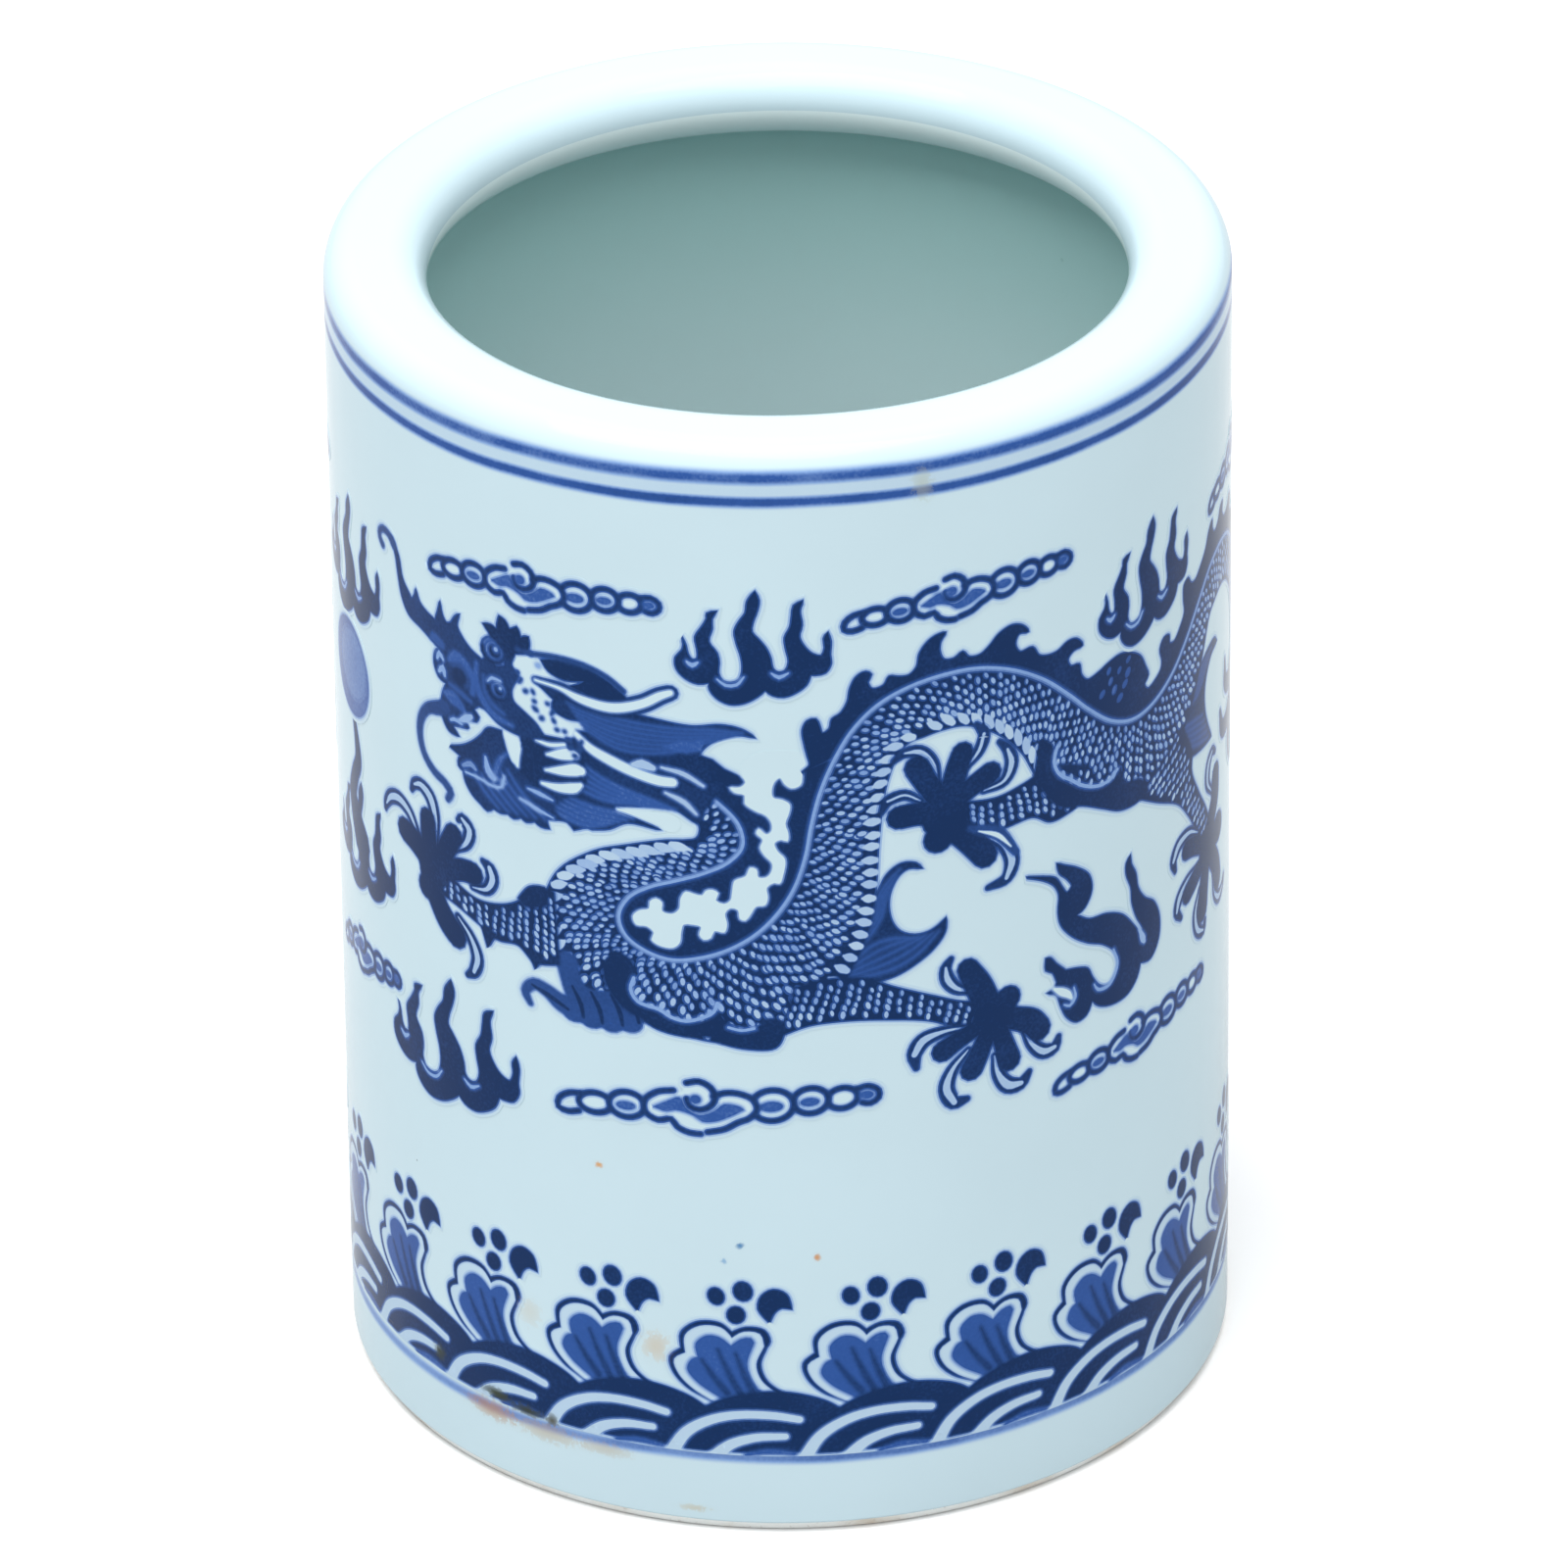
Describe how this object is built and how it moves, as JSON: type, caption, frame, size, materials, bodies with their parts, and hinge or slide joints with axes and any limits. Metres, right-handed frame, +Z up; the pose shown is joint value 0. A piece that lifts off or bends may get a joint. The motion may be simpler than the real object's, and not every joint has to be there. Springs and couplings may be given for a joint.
{
  "type": "brush pot",
  "caption": "Straight cylindrical porcelain pot with a thick rolled rim and a low foot ring, for standing writing brushes in.",
  "frame": {"origin": "centre of the foot, on the plane that the pot stands on", "axes": "+Z up along the pot's axis, -Y towards the front of the decoration, +X to its right"},
  "size_m": [0.1, 0.1, 0.137],
  "materials": {
    "biscuit": "bare fired porcelain clay, matte",
    "glaze": "glossy pale blue-grey glaze over cobalt decoration"
  },
  "bodies": {
    "root": {"foot_ring": "biscuit", "base": "biscuit", "wall": "biscuit", "rim": "biscuit", "outer_glaze": "glaze", "inner_glaze": "glaze", "underside_glaze": "glaze"}
  },
  "joints": []
}
